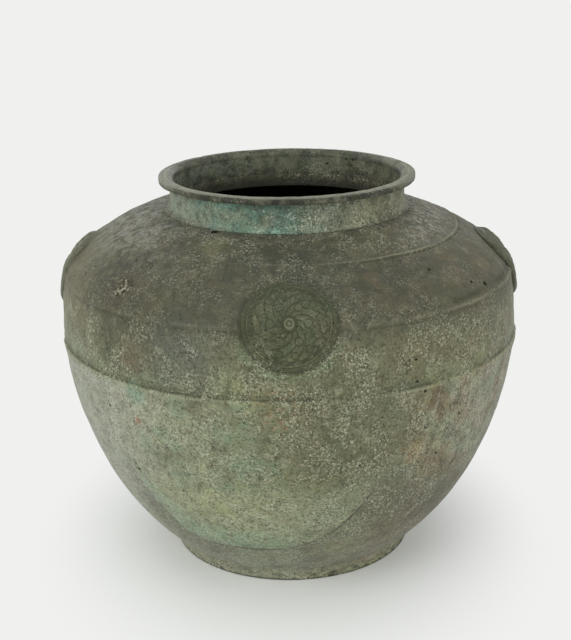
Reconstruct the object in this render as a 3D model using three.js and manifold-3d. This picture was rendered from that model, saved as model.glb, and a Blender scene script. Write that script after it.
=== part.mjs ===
// Bu jar: a broad-shouldered cast-bronze storage jar, with a low neck, a flat turned-out lip, three raised
// lines round the wall, a low foot ring and four precast roundels soldered to the shoulder.
// Millimetres, +Z up. The origin is the centre of the foot ring's underside, and the front roundel faces -Y.
import * as THREE from "three";
import { mergeVertices } from "three/addons/utils/BufferGeometryUtils.js";
import Module from "manifold-3d";

const wasm = await Module();
wasm.setup();

// Clearance that every pair of touching pieces keeps.
const seatGap = 0.3;
// Flat sides that stand for a full circle on the turned pieces.
const turnedSides = 48;

// Foot ring.
const footRadius = 98;
const footFlare = 2;
const footHeight = 11.4;
const footWall = 5.5;
const footEase = 1.2;

// Body wall, by the radius and height of its main circles.
const wallThickness = 3.2;
const floorThickness = 4;
const floorSpigotDepth = 3;
const bellyRadius = 181;
const bellyHeight = 182;
const turnRadius = 176.5;
const turnHeight = 234;
const wallSwell = 1.6;
const neckRootRadius = 93.6;
const neckRootHeight = 280;

// How full the curves of the bowl and of the shoulder are, as the lengths of their handles.
const bowlUpperPull = 74;
const bowlUpperLean = 4.5;
const bowlLowerOut = 39.7;
const bowlLowerUp = 27;
const shoulderTopPull = 24;
const shoulderTopRise = 2.6;
const shoulderTurnPull = 17;
const shoulderTurnLean = 6.5;

// Raised lines: a ledge at the widest circle, a broad bead at the turn and a thin line on the shoulder.
const ledgeWidth = 5;
const ledgeHeight = 1.3;
const beadWidth = 4.6;
const beadHeight = 1.3;
const thinLineWidth = 2.4;
const thinLineHeight = 1;
const thinLineRadius = 134.8;

// Neck and lip.
const lipRadius = 100.7;
const neckHeight = 27.4;
const lipTop = neckRootHeight + neckHeight;
const lipThickness = 5.3;
const lipEase = 0.9;
const mouthRadius = 90.9;
const mouthEase = 2.1;
const neckInnerRadius = 88.8;
const neckWall = 3.2;
const neckWaist = 0.3;
const neckFillet = 1.4;
const collarHeight = 7;
const collarThickness = 1.9;

// Roundels, measured over the curve of the shoulder.
const roundelCount = 4;
const roundelNames = ["front", "right", "back", "left"];
const roundelRadius = 32.8;
const roundelRise = 4;
const roundelEdgeRise = 2.2;
const roundelAboveTurn = 3.8;
const roundelSides = 22;
const seatDepth = 0.4;
const seatReach = 12;
const borderWidth = 5;
const borderRise = 0.6;
const bedThickness = 0.8;

// Bosses on a roundel's face, each sunk a little way into it.
const bossSink = 1.2;
const bossShoulder = 0.6;
const middleBossRadius = 3.8;
const middleBossRise = 1.6;
const middleBossSides = 10;
const largeBossCircle = 12.2;
const largeBossCount = 6;
const largeBossRadius = 2.3;
const largeBossRise = 0.9;
const largeBossSides = 6;
const smallBossCircle = 22;
const smallBossCount = 12;
const smallBossRadius = 1.9;
const smallBossRise = 0.8;
const smallBossSides = 5;

const bronze = { color: 0x5f6653, roughness: 0.62, metalness: 0.35 };
const shoulderBronze = { color: 0x64614f, roughness: 0.6, metalness: 0.35 };
const neckBronze = { color: 0x66806f, roughness: 0.66, metalness: 0.25 };
const solderGrey = { color: 0x8b8d8c, roughness: 0.55, metalness: 0.6 };

// A finished solid as a named mesh with its own material.
function piece(name, geometry, finish) {
  const mesh = new THREE.Mesh(geometry, new THREE.MeshStandardMaterial(finish));
  mesh.name = name;
  return mesh;
}

// A closed profile of [radius, height] points turned about the upright axis.
function turned(profile, sides = turnedSides) {
  const points = profile.map(([radius, height]) => new THREE.Vector2(radius, height));
  return new THREE.LatheGeometry(points, sides).rotateX(Math.PI / 2);
}

// A closed geometry as a solid that can be cut and joined.
function solidFrom(geometry) {
  const bare = geometry.clone();
  bare.deleteAttribute("normal");
  bare.deleteAttribute("uv");
  const merged = mergeVertices(bare, 1e-4);
  return new wasm.Manifold(
    new wasm.Mesh({
      numProp: 3,
      vertProperties: new Float32Array(merged.attributes.position.array),
      triVerts: new Uint32Array(merged.index.array),
    }),
  );
}

function geometryFrom(solid) {
  const mesh = solid.getMesh();
  const geometry = new THREE.BufferGeometry();
  geometry.setAttribute("position", new THREE.BufferAttribute(mesh.vertProperties, 3));
  geometry.setIndex(new THREE.BufferAttribute(mesh.triVerts, 1));
  geometry.computeVertexNormals();
  return geometry;
}

// Outer face of the wall, from the foot up to the neck, as one line in radius and height.
const footSeatHeight = footHeight + seatGap;
const footTopRadius = footRadius + footFlare;
const outerLine = new THREE.CurvePath();
const bowl = new THREE.CubicBezierCurve(
  new THREE.Vector2(footTopRadius, footSeatHeight),
  new THREE.Vector2(footTopRadius + bowlLowerOut, footSeatHeight + bowlLowerUp),
  new THREE.Vector2(bellyRadius - bowlUpperLean, bellyHeight - bowlUpperPull),
  new THREE.Vector2(bellyRadius, bellyHeight),
);
const wall = new THREE.QuadraticBezierCurve(
  new THREE.Vector2(bellyRadius, bellyHeight),
  new THREE.Vector2((bellyRadius + turnRadius) / 2 + wallSwell, (bellyHeight + turnHeight) / 2),
  new THREE.Vector2(turnRadius, turnHeight),
);
const shoulder = new THREE.CubicBezierCurve(
  new THREE.Vector2(turnRadius, turnHeight),
  new THREE.Vector2(turnRadius - shoulderTurnLean, turnHeight + shoulderTurnPull),
  new THREE.Vector2(neckRootRadius + shoulderTopPull, neckRootHeight + shoulderTopRise),
  new THREE.Vector2(neckRootRadius, neckRootHeight),
);
for (const curve of [bowl, wall, shoulder]) outerLine.add(curve);
const lineLength = outerLine.getLength();
const bellyAt = bowl.getLength();
const turnAt = bellyAt + wall.getLength();

// The point of the wall's outer face a given way up its line, moved out by height along its normal.
function onWall(along, height = 0) {
  const share = THREE.MathUtils.clamp(along / lineLength, 0, 1);
  const point = outerLine.getPoint(share);
  const tangent = outerLine.getTangent(share);
  return [point.x + tangent.y * height, point.y - tangent.x * height];
}

// How far up the outer line the shoulder has a given radius, by halving.
function alongWhereRadiusIs(radius) {
  let low = turnAt;
  let high = lineLength;
  for (let step = 0; step < 40; step += 1) {
    const middle = (low + high) / 2;
    if (onWall(middle)[0] > radius) low = middle;
    else high = middle;
  }
  return low;
}

// Sections of the raised lines, from their lower to their upper edge, as shares of width and height.
const beadShape = [
  [-0.5, 0],
  [-0.2, 1],
  [0.2, 1],
  [0.5, 0],
];
const ledgeShape = [
  [-0.5, 0],
  [0.05, 1],
  [0.32, 1],
  [0.5, 0],
];
const raisedLines = [
  { at: bellyAt, width: ledgeWidth, height: ledgeHeight, shape: ledgeShape },
  { at: turnAt, width: beadWidth, height: beadHeight, shape: beadShape },
  { at: alongWhereRadiusIs(thinLineRadius), width: thinLineWidth, height: thinLineHeight, shape: beadShape },
];

// Steps in the plain stretches below, between and above the raised lines.
const stretchSteps = [8, 3, 4, 3];

// Outer face of the wall with its raised lines.
function outerProfile() {
  const points = [onWall(0)];
  let start = 0;
  stretchSteps.forEach((steps, stretch) => {
    const line = raisedLines[stretch];
    const end = line ? line.at - line.width / 2 : lineLength;
    const last = line ? steps - 1 : steps;
    for (let step = 1; step <= last; step += 1) points.push(onWall(start + ((end - start) * step) / steps));
    if (!line) return;
    for (const [offset, share] of line.shape) {
      points.push(onWall(line.at + offset * line.width, share * line.height));
    }
    start = line.at + line.width / 2;
  });
  return points;
}

// Inner face of the wall, one thickness in, from the neck down to the floor. The steps are those of the
// bowl, of the wall and of the shoulder.
const innerSteps = [6, 2, 5];
function innerProfile() {
  const points = [];
  const stops = [0, bellyAt, turnAt, lineLength];
  for (let stretch = stops.length - 2; stretch >= 0; stretch -= 1) {
    const start = stops[stretch];
    const end = stops[stretch + 1];
    for (let step = innerSteps[stretch] - 1; step >= 0; step -= 1) {
      points.push(onWall(start + ((end - start) * step) / innerSteps[stretch], -wallThickness));
    }
  }
  return points;
}

const collarOuterRadius = neckInnerRadius + collarThickness;
const spigotRadius = footRadius - footWall - seatGap;
const floorUnderside = footSeatHeight - floorSpigotDepth;

// The closed section of the body: floor, bowl, wall, shoulder and the collar that the neck sits over.
function bodySection() {
  const floorTop = floorUnderside + floorThickness;
  return [
    [0, floorUnderside],
    [spigotRadius, floorUnderside],
    [spigotRadius, footSeatHeight],
    ...outerProfile(),
    [collarOuterRadius, neckRootHeight],
    [collarOuterRadius, neckRootHeight + collarHeight],
    [neckInnerRadius, neckRootHeight + collarHeight],
    [neckInnerRadius, neckRootHeight - wallThickness],
    ...innerProfile(),
    [spigotRadius - floorThickness, floorTop],
    [0, floorTop],
  ];
}

// A point of the shoulder in a roundel's own polar measure, moved out by height along the wall's normal.
const roundelAlong = turnAt + roundelAboveTurn;
function onRoundel(turn, radius, angle, height) {
  const along = roundelAlong + radius * Math.sin(angle);
  const [baseRadius] = onWall(along);
  const [outRadius, outHeight] = onWall(along, height);
  const azimuth = turn + (radius * Math.cos(angle)) / baseRadius;
  return new THREE.Vector3(outRadius * Math.sin(azimuth), -outRadius * Math.cos(azimuth), outHeight);
}

// A closed disc laid over the shoulder: its section is a line of [radius, height] from the middle of its
// back, round its edge and up to the middle of its face.
function shoulderDisc(turn, section, sides = roundelSides) {
  const positions = [];
  const faces = [];
  const inner = section.slice(1, -1);
  const addPoint = (point) => positions.push(point.x, point.y, point.z);
  addPoint(onRoundel(turn, 0, 0, section[0][1]));
  for (const [radius, height] of inner) {
    for (let side = 0; side < sides; side += 1) {
      addPoint(onRoundel(turn, radius, (2 * Math.PI * side) / sides, height));
    }
  }
  addPoint(onRoundel(turn, 0, 0, section[section.length - 1][1]));
  const last = positions.length / 3 - 1;
  for (let side = 0; side < sides; side += 1) {
    const next = (side + 1) % sides;
    faces.push(0, 1 + next, 1 + side);
    for (let ring = 0; ring < inner.length - 1; ring += 1) {
      const low = 1 + ring * sides;
      const high = low + sides;
      // The fold across a face runs the same way on fronts and backs, so that faces in contact stay parallel.
      if (inner[ring + 1][0] < inner[ring][0]) {
        faces.push(low + side, low + next, high + side);
        faces.push(low + next, high + next, high + side);
      } else {
        faces.push(low + side, low + next, high + next);
        faces.push(low + side, high + next, high + side);
      }
    }
    const top = 1 + (inner.length - 1) * sides;
    faces.push(top + side, top + next, last);
  }
  const geometry = new THREE.BufferGeometry();
  geometry.setAttribute("position", new THREE.BufferAttribute(new Float32Array(positions), 3));
  geometry.setIndex(faces);
  return geometry;
}

// Places a boss turned about its own axis on a roundel's face, its axis along the wall's normal.
function placedBoss(turn, radius, angle, section, sides) {
  const foot = onRoundel(turn, radius, angle, 0);
  const head = onRoundel(turn, radius, angle, 1);
  const up = head.sub(foot).normalize();
  const stand = new THREE.Quaternion().setFromUnitVectors(new THREE.Vector3(0, 0, 1), up);
  return solidFrom(turned(section, sides).applyQuaternion(stand).translate(foot.x, foot.y, foot.z));
}

// How far a roundel's face stands out from the wall, at a given radius from its centre.
function faceHeight(radius) {
  return roundelEdgeRise + (roundelRise - roundelEdgeRise) * (1 - (radius / roundelRadius) ** 2);
}

// A flat-topped boss on the face, drawn as the section that is turned about the boss's own axis.
function bossSection(circle, radius, rise) {
  const face = faceHeight(circle);
  return [
    [0, face - bossSink],
    [radius, face],
    [radius * bossShoulder, face + rise],
    [0, face + rise],
  ];
}

// The relief of one roundel: a middle boss, a circle of large bosses and a circle of small ones.
function roundelBosses(turn) {
  const middle = bossSection(0, middleBossRadius, middleBossRise);
  const bosses = [placedBoss(turn, 0, 0, middle, middleBossSides)];
  const circles = [
    [largeBossCount, largeBossCircle, largeBossRadius, largeBossRise, largeBossSides, 0],
    [smallBossCount, smallBossCircle, smallBossRadius, smallBossRise, smallBossSides, Math.PI / smallBossCount],
  ];
  for (const [count, circle, radius, rise, sides, start] of circles) {
    for (let index = 0; index < count; index += 1) {
      const angle = start + (2 * Math.PI * index) / count;
      bosses.push(placedBoss(turn, circle, angle, bossSection(circle, radius, rise), sides));
    }
  }
  return bosses;
}

const borderInner = roundelRadius - borderWidth;
const roundelBack = -seatDepth + seatGap;
const bedRadius = borderInner - seatGap * 2;
const bedTop = roundelBack + bedThickness;
const clearRadius = roundelRadius + seatGap;

// Faces that lie over each other share the same rings, so that their flats stay parallel.
const faceRings = [0, 0.35, 0.7, 1].map((share) => share * bedRadius);
const levelFace = (height) => faceRings.map((radius) => [radius, height]);
const domedFace = () => faceRings.map((radius) => [radius, faceHeight(radius)]);

// One roundel: a curved and domed disc with a raised border, hollowed behind for its solder.
function roundelSolid(turn) {
  const ease = borderRise;
  const innerTop = borderInner + ease * 2;
  const outerTop = roundelRadius - ease;
  const disc = shoulderDisc(turn, [
    ...levelFace(bedTop + seatGap),
    [borderInner, bedTop + seatGap],
    [borderInner, roundelBack],
    [roundelRadius, roundelBack],
    [roundelRadius, faceHeight(roundelRadius)],
    [outerTop, faceHeight(outerTop) + borderRise],
    [innerTop, faceHeight(innerTop) + borderRise],
    [borderInner + ease, faceHeight(borderInner + ease)],
    ...domedFace().reverse(),
  ]);
  return roundelBosses(turn).reduce((solid, boss) => solid.add(boss), solidFrom(disc));
}

// The solder that fills a roundel's hollow back.
function solderBed(turn) {
  return shoulderDisc(turn, [...levelFace(roundelBack), ...levelFace(bedTop).reverse()]);
}

// The shallow seat that is cut in the shoulder for a roundel, right through the raised line at the turn.
function roundelSeat(turn) {
  const section = [
    ...levelFace(-seatDepth),
    [clearRadius, -seatDepth],
    [clearRadius, seatReach],
    ...levelFace(seatReach).reverse(),
  ];
  return solidFrom(shoulderDisc(turn, section));
}

const roundelTurns = roundelNames.map((_, index) => (2 * Math.PI * index) / roundelCount);

function bodyGeometry() {
  const whole = solidFrom(turned(bodySection()));
  return geometryFrom(roundelTurns.reduce((solid, turn) => solid.subtract(roundelSeat(turn)), whole));
}

// Neck and lip in one casting, rebated inside its lower edge to sit over the body's collar.
function neckGeometry() {
  const foot = neckRootHeight + seatGap;
  const neckTopRadius = neckInnerRadius + neckWall;
  const rebateRadius = collarOuterRadius + seatGap;
  const rebateTop = neckRootHeight + collarHeight + seatGap;
  const lipUnder = lipTop - lipThickness;
  return turned([
    [rebateRadius, foot],
    [neckRootRadius, foot],
    [(neckRootRadius + neckTopRadius) / 2 - neckWaist, (foot + lipUnder) / 2],
    [neckTopRadius, lipUnder - neckFillet],
    [neckTopRadius + neckFillet, lipUnder],
    [lipRadius - lipEase, lipUnder],
    [lipRadius, lipUnder + lipEase],
    [lipRadius, lipTop - lipEase],
    [lipRadius - lipEase, lipTop],
    [mouthRadius, lipTop],
    [neckInnerRadius + mouthEase / 3, lipTop - mouthEase / 2.5],
    [neckInnerRadius, lipTop - mouthEase],
    [neckInnerRadius, rebateTop],
    [rebateRadius, rebateTop],
    [rebateRadius, foot],
  ]);
}

// Foot ring, which stands on a flat face and takes the body's seat on its top.
function footGeometry() {
  const innerRadius = footRadius - footWall;
  return turned([
    [innerRadius, 0],
    [footRadius - footEase, 0],
    [footRadius, footEase],
    [footTopRadius, footHeight],
    [innerRadius, footHeight],
    [innerRadius, 0],
  ]);
}

const jar = new THREE.Group();
jar.add(piece("body", bodyGeometry(), bronze));
jar.add(piece("neck_and_lip", neckGeometry(), neckBronze));
jar.add(piece("foot_ring", footGeometry(), bronze));
roundelNames.forEach((name, index) => {
  const turn = roundelTurns[index];
  jar.add(piece(`roundel_${name}`, geometryFrom(roundelSolid(turn)), shoulderBronze));
  jar.add(piece(`solder_bed_${name}`, solderBed(turn), solderGrey));
});

export default jar;
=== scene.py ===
# Bu jar in cast bronze: its finished surfaces, their relief, and a plain pale studio.
# Sizes are in millimetres until a piece is finished; Blender's own are metres.
import bisect
import math
import bpy
from mathutils import Matrix, Vector, noise


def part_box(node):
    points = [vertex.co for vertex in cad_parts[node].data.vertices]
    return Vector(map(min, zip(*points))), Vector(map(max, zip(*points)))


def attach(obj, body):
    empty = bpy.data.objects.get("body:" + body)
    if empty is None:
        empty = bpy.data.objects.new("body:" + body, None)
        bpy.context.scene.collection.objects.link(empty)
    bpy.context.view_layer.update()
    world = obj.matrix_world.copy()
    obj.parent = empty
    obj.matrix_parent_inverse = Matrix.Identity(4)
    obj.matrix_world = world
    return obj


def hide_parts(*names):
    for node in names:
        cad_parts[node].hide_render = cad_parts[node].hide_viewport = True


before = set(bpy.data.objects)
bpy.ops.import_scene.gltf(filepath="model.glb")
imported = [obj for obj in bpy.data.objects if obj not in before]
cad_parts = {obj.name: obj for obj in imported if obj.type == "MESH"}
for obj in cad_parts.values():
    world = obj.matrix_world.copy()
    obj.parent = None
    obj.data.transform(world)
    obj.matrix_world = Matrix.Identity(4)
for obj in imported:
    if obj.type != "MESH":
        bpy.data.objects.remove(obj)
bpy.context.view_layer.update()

MM = 0.001

# The jar's driving sizes, the same as in the solids.
foot_radius = 98.0
foot_flare = 2.0
foot_wall = 5.5
foot_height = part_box("foot_ring")[1].z / MM
seat_gap = 0.3
wall_thickness = 3.2
floor_thickness = 4.0
floor_spigot = 3.0
belly_radius, belly_height = 181.0, 182.0
turn_radius, turn_height = 176.5, 234.0
neck_root_radius, neck_root_height = 93.6, 280.0
ledge_height, bead_height, thin_line_height = 1.2, 1.1, 0.95
thin_line_radius = 134.8
lip_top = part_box("neck_and_lip")[1].z / MM
lip_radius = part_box("neck_and_lip")[1].x / MM
lip_thickness = 5.3
mouth_radius = 90.9
crest_radius = 95.6
neck_inner_radius = 88.8
neck_outer_radius = neck_inner_radius + 3.2
collar_height = 7.0
collar_thickness = 1.9
roundel_radius = 32.8
roundel_rise = 4.0
roundel_edge_rise = 2.2
roundel_above_turn = 3.8
seat_depth = 0.4

# How the handles of the bowl's, the wall's and the shoulder's curves lie off their ends.
bowl_lower_out, bowl_lower_up = 39.7, 27
bowl_upper_lean, bowl_upper_pull = 4.5, 74
wall_swell = 1.6
shoulder_turn_lean, shoulder_turn_pull = 6.5, 17
shoulder_top_pull, shoulder_top_rise = 24, 2.6

# Heights between which the roundels lie, and over which the neck stands.
roundels_low, roundels_high = 190, 268
collar_from = 276

JAR_MIDDLE = Vector((0, 0, 150))
BOWL_STEPS, WALL_STEPS, SHOULDER_STEPS = 400, 110, 250
INNER_STEPS = 40
SPIN_STEPS = 320
ROUNDEL_SPIN_STEPS = 230
SMOOTH_BELOW = math.radians(55)
QUARTER = math.tau / 4


# Curves and the wall's outer line

def cubic(handles, steps):
    """Points along a cubic curve given by its four handles."""
    points = []
    for step in range(steps + 1):
        t = step / steps
        shares = ((1 - t) ** 3, 3 * (1 - t) ** 2 * t, 3 * (1 - t) * t ** 2, t ** 3)
        points.append(tuple(sum(w * h[axis] for w, h in zip(shares, handles)) for axis in (0, 1)))
    return points


def quadratic(start, pull, end, steps):
    """Points along a curve with one handle, as a cubic."""
    near = tuple(s + (p - s) * 2 / 3 for s, p in zip(start, pull))
    far = tuple(e + (p - e) * 2 / 3 for e, p in zip(end, pull))
    return cubic((start, near, far, end), steps)


foot_seat = foot_height + seat_gap
foot_top_radius = foot_radius + foot_flare
bowl_line = cubic(((foot_top_radius, foot_seat),
                   (foot_top_radius + bowl_lower_out, foot_seat + bowl_lower_up),
                   (belly_radius - bowl_upper_lean, belly_height - bowl_upper_pull),
                   (belly_radius, belly_height)), BOWL_STEPS)
wall_pull = ((belly_radius + turn_radius) / 2 + wall_swell, (belly_height + turn_height) / 2)
wall_line = quadratic((belly_radius, belly_height), wall_pull, (turn_radius, turn_height), WALL_STEPS)
shoulder_line = cubic(((turn_radius, turn_height),
                       (turn_radius - shoulder_turn_lean, turn_height + shoulder_turn_pull),
                       (neck_root_radius + shoulder_top_pull, neck_root_height + shoulder_top_rise),
                       (neck_root_radius, neck_root_height)), SHOULDER_STEPS)
outer_line = bowl_line + wall_line[1:] + shoulder_line[1:]


def running_lengths(line):
    """How far along a line each of its points lies."""
    lengths = [0.0]
    for (r0, z0), (r1, z1) in zip(line, line[1:]):
        lengths.append(lengths[-1] + math.hypot(r1 - r0, z1 - z0))
    return lengths


outer_lengths = running_lengths(outer_line)
outer_heights = [height for _, height in outer_line]
line_length = outer_lengths[-1]
belly_along = outer_lengths[len(bowl_line) - 1]
turn_along = outer_lengths[len(bowl_line) + len(wall_line) - 2]
thin_line_along = next(a for a, (r, z) in zip(outer_lengths, outer_line)
                       if z > turn_height and r < thin_line_radius)
roundel_along = turn_along + roundel_above_turn


def smooth(low, high, value):
    """0 below low, 1 above high, and an even S between them."""
    t = min(max((value - low) / (high - low), 0.0), 1.0)
    return t * t * (3 - 2 * t)


def bump(value, middle, width):
    """A rounded rise of 1 about its middle."""
    return math.exp(-((value - middle) / width) ** 2)


def step_and_share(value, values):
    """The step of a rising list that a value falls in, and how far through that step it lies."""
    high = min(max(bisect.bisect_left(values, value), 1), len(values) - 1)
    return high, (value - values[high - 1]) / (values[high] - values[high - 1])


def on_wall(along, out=0.0):
    """The wall's outer face a given way up its line, moved out along its normal."""
    high, share = step_and_share(along, outer_lengths)
    (r0, z0), (r1, z1) = outer_line[high - 1], outer_line[high]
    step = outer_lengths[high] - outer_lengths[high - 1]
    return (r0 + (r1 - r0) * share + (z1 - z0) / step * out,
            z0 + (z1 - z0) * share - (r1 - r0) / step * out)


def along_at(height):
    """How far up its line the wall reaches a height."""
    high, share = step_and_share(height, outer_heights)
    return outer_lengths[high - 1] + (outer_lengths[high] - outer_lengths[high - 1]) * share


def wall_place(azimuth, height):
    """The place on the outer wall at an azimuth from the front, in degrees, and a height."""
    radius = on_wall(along_at(height))[0]
    turn = math.radians(azimuth)
    return Vector((radius * math.sin(turn), -radius * math.cos(turn), height))


# Piece making

def finish_piece(piece, node, material):
    """Puts the piece just made, which is still selected, on the jar in place of a solid."""
    piece.data.materials.append(material)
    bpy.ops.object.shade_smooth_by_angle(angle=SMOOTH_BELOW)
    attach(piece, "root")
    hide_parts(node)


def fine(line, spacing):
    """The same line with points no further apart than the spacing."""
    points = [line[0]]
    for (r0, z0), (r1, z1) in zip(line, line[1:]):
        count = max(1, math.ceil(math.hypot(r1 - r0, z1 - z0) / spacing))
        points += [(r0 + (r1 - r0) * n / count, z0 + (z1 - z0) * n / count) for n in range(1, count + 1)]
    return points


def turned(name, profile, steps):
    """Draws a line of radius and height by extruding one point, then spins it round the upright axis."""
    bpy.ops.mesh.primitive_plane_add(size=MM)
    piece = bpy.context.object
    piece.name = name
    bpy.ops.object.mode_set(mode="EDIT")
    bpy.ops.mesh.select_all(action="SELECT")
    bpy.ops.mesh.merge(type="CENTER")
    bpy.ops.transform.translate(value=(profile[0][0] * MM, 0, profile[0][1] * MM))
    for (r0, z0), (r1, z1) in zip(profile, profile[1:]):
        move = ((r1 - r0) * MM, 0, (z1 - z0) * MM)
        bpy.ops.mesh.extrude_vertices_move(TRANSFORM_OT_translate={"value": move})
    bpy.ops.mesh.select_all(action="SELECT")
    bpy.ops.mesh.spin(steps=steps, angle=math.tau, center=(0, 0, 0), axis=(0, 0, 1))
    bpy.ops.mesh.select_all(action="SELECT")
    bpy.ops.mesh.remove_doubles(threshold=0.02 * MM)
    bpy.ops.mesh.normals_make_consistent(inside=False)
    bpy.ops.object.mode_set(mode="OBJECT")
    return piece


def refine(piece, wanted, cuts):
    """Cuts the faces whose middle is wanted into finer ones, so that small shapes show there."""
    bpy.ops.object.mode_set(mode="EDIT")
    bpy.ops.mesh.select_mode(type="FACE")
    bpy.ops.mesh.select_all(action="DESELECT")
    bpy.ops.object.mode_set(mode="OBJECT")
    for face in piece.data.polygons:
        face.select = wanted(face.center / MM, face.normal)
    bpy.ops.object.mode_set(mode="EDIT")
    bpy.ops.mesh.subdivide(number_cuts=cuts)
    bpy.ops.mesh.select_mode(type="VERT")
    bpy.ops.object.mode_set(mode="OBJECT")


def reshape(piece, shape):
    """Moves every point to shape(its place, its normal), in millimetres. The shape also says how worn and
    shaded the point is, from -1 in a crevice, darkened as dirt and painted shade, to 1 on a rubbed edge,
    paled as wear and painted highlight, and whether it faces the jar's hollow, which is darkened as painted
    shade."""
    mesh = piece.data
    results = [shape(vertex.co / MM, vertex.normal.copy()) for vertex in mesh.vertices]
    wear_and_shading = mesh.attributes.new("wear_and_shading", "FLOAT", "POINT").data
    hollow = mesh.attributes.new("hollow_side", "FLOAT", "POINT").data
    for vertex, worn_and_shaded, inside, result in zip(mesh.vertices, wear_and_shading, hollow, results):
        vertex.co = result[0] * MM
        worn_and_shaded.value, inside.value = result[1:]
    mesh.update()


def lumps(place, size, seed=0.0):
    """Smooth unevenness between about -1 and 1, with lumps of a given size."""
    return noise.noise(place / size + Vector((seed, seed * 1.7, seed * 0.3)))


def azimuth_of(place):
    """Angle round the jar from the front, in radians, rising to the right."""
    return math.atan2(place.x, -place.y)


# Body

# Small casting holes and pits: azimuth in degrees, height, radius and depth.
body_pits = (
    (41.5, 257.8, 1.5, 1.2), (52.5, 245, 1.6, 1.2), (57.2, 240.8, 2.1, 1.6), (29.3, 204.5, 1.2, 1),
    (29.5, 188.3, 1.1, 0.9), (31.4, 180.2, 1.2, 0.9), (44, 151.4, 1.3, 1), (32.9, 149.7, 1.1, 0.9),
    (38.6, 122.5, 1.2, 1), (16.3, 128.6, 1.1, 0.8), (-47.5, 160.2, 1.1, 0.8), (-42.9, 109.1, 1.4, 1),
    (-49, 262, 1, 0.7), (-63, 252, 1.1, 0.8), (78, 214, 1.3, 1), (118, 190, 1.6, 1.2), (151, 236, 1.5, 1.1),
    (-128, 141, 1.4, 1.1), (-165, 203, 1.8, 1.3))
# The pits are drawn a little narrower than their mouths measure, as their edges are shaded too.
pit_share = 0.82
pit_places = [(wall_place(azimuth, height), pit_share * radius, depth)
              for azimuth, height, radius, depth in body_pits]
# The hole at the neck's root.
pit_places.append((Vector((-53.2, -84.3, 279.7)), 2.8, 1.6))
crater = wall_place(-45.8, 248.3)
crater_radius = 11.0
dent = wall_place(-40, 70)
front_roundel = Vector((0, -on_wall(roundel_along)[0], on_wall(roundel_along)[1]))

# Where the old mould joint shows on the front of the bowl: a wide, lopsided U.
patch_middle, patch_low = -40.0, 45.5
patch_left_rise, patch_right_rise = 1.33e-4, 6.1e-5

line_places = [on_wall(along) for along in (belly_along, turn_along, thin_line_along)]


def above_patch_edge(place):
    """Height above the U-shaped joint, and below zero outside it."""
    across = place.x - patch_middle
    rise = patch_left_rise if across < 0 else patch_right_rise
    return place.z - patch_low - rise * abs(across) ** 3


def from_roundel(place):
    """How far over the curve of the shoulder a place is from the middle of the nearest roundel."""
    azimuth = azimuth_of(place)
    turn = QUARTER * round(azimuth / QUARTER)
    return math.hypot((azimuth - turn) * place.xy.length, along_at(place.z) - roundel_along)


def sway(azimuth, height):
    """How much fuller the wall is than a true circle: out on the left and in on the right."""
    side = math.sin(azimuth)
    out = -1.3 * side * smooth(226, 246, height) * smooth(281, 275, height)
    out -= 1.2 * max(0.0, side) * bump(height, 273, 9) * smooth(281, 278, height)
    return out + 0.4 * max(0.0, -side) * smooth(186, 196, height) * smooth(234, 222, height)


def raised_lines(place):
    """How far the raised lines stand out at a place on the wall, and how it is worn and shaded there: paled
    on the ridges as wear and painted highlight, darkened beside them as dirt and painted shade.
    """
    ledge, bead, thin = (
        math.copysign(math.hypot(place.xy.length - radius, place.z - height), place.z - height)
        for radius, height in line_places)
    out = ledge_height * smooth(2.3, 0.9, ledge) * smooth(-11, -1, ledge) - 0.4 * bump(ledge, 3.4, 1.2)
    azimuth = math.degrees(azimuth_of(place))
    front = bump(azimuth, 0, 24)
    # Painted highlight and shade with the wear and dirt: the ledge's edge is paled where it catches the light
    # and the angle above it darkened; the bead and the thin line get the same.
    worn_and_shaded = (0.9 - 0.7 * front) * bump(ledge, 0.5, 0.8) - (0.75 + 0.3 * front) * bump(ledge, 2.6, 0.8)
    worn_and_shaded -= 0.4 * bump(ledge, 4.5, 2.5)
    # The bead at the turn is worn almost away in front and to the left.
    left = 0.25 + 0.75 * smooth(24, 55, azimuth) + 0.5 * smooth(-120, -150, azimuth)
    out += left * (bead_height * bump(bead, 0, 2.0) - 0.5 * bump(bead, 5, 2.3))
    worn_and_shaded += left * (0.6 * bump(bead, 0, 1.5) - 1.1 * bump(bead, 4.8, 2.6)) - 0.6 * bump(bead, -3.2, 0.9)
    # So is the thin line, though less.
    left = 0.3 + 0.7 * smooth(0, 35, azimuth) + 0.5 * smooth(-120, -150, azimuth)
    out += left * (thin_line_height * bump(thin, 0, 0.95) - 0.35 * bump(thin, -2.4, 1.2))
    worn_and_shaded += left * (0.8 * bump(thin, 0.1, 0.8) - 1.2 * bump(thin, -1.9, 0.9))
    return out, worn_and_shaded


def foot_crust(azimuth, height):
    """Crust that fills the angle between the bowl and the foot ring, all but on the right."""
    right = smooth(0.35, 0.9, azimuth) * smooth(2.2, 1.4, azimuth)
    return 1.6 * bump(height, foot_seat, 4.5) * (1 - right)


def by_roundels(place, out, line_out, worn_and_shaded):
    """Sinks a seat under each roundel, lays a soft hollow and a low swell round it, and darkens the wall at
    its edge, as dirt and painted shade where the roundel meets the wall.
    """
    reach = from_roundel(place) - roundel_radius
    seat = smooth(0.2, -0.5, reach)
    side = abs(place.x) / place.xy.length
    # The hollow beside the left roundel is filled with crust.
    filled = max(0.0, -place.x / place.xy.length)
    out += (-seat_depth - out) * seat
    out += 0.5 * bump(reach, 7, 3)
    out -= (1 - filled) * 0.3 * bump(reach, 2, 1.6)
    out += filled * (1 - seat) * smooth(7, 1, reach)
    # Darkening at the roundel's edge, a thin line and a wider band: dirt, and painted shade where the parts
    # meet.
    worn_and_shaded = worn_and_shaded * (1 - seat) - (0.6 - 0.35 * side) * bump(reach, 0.8, 1.4)
    worn_and_shaded -= (0.3 + 0.2 * side) * smooth(6 + 5 * side, 0, reach)
    return out, line_out * (1 - seat), worn_and_shaded


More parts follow.
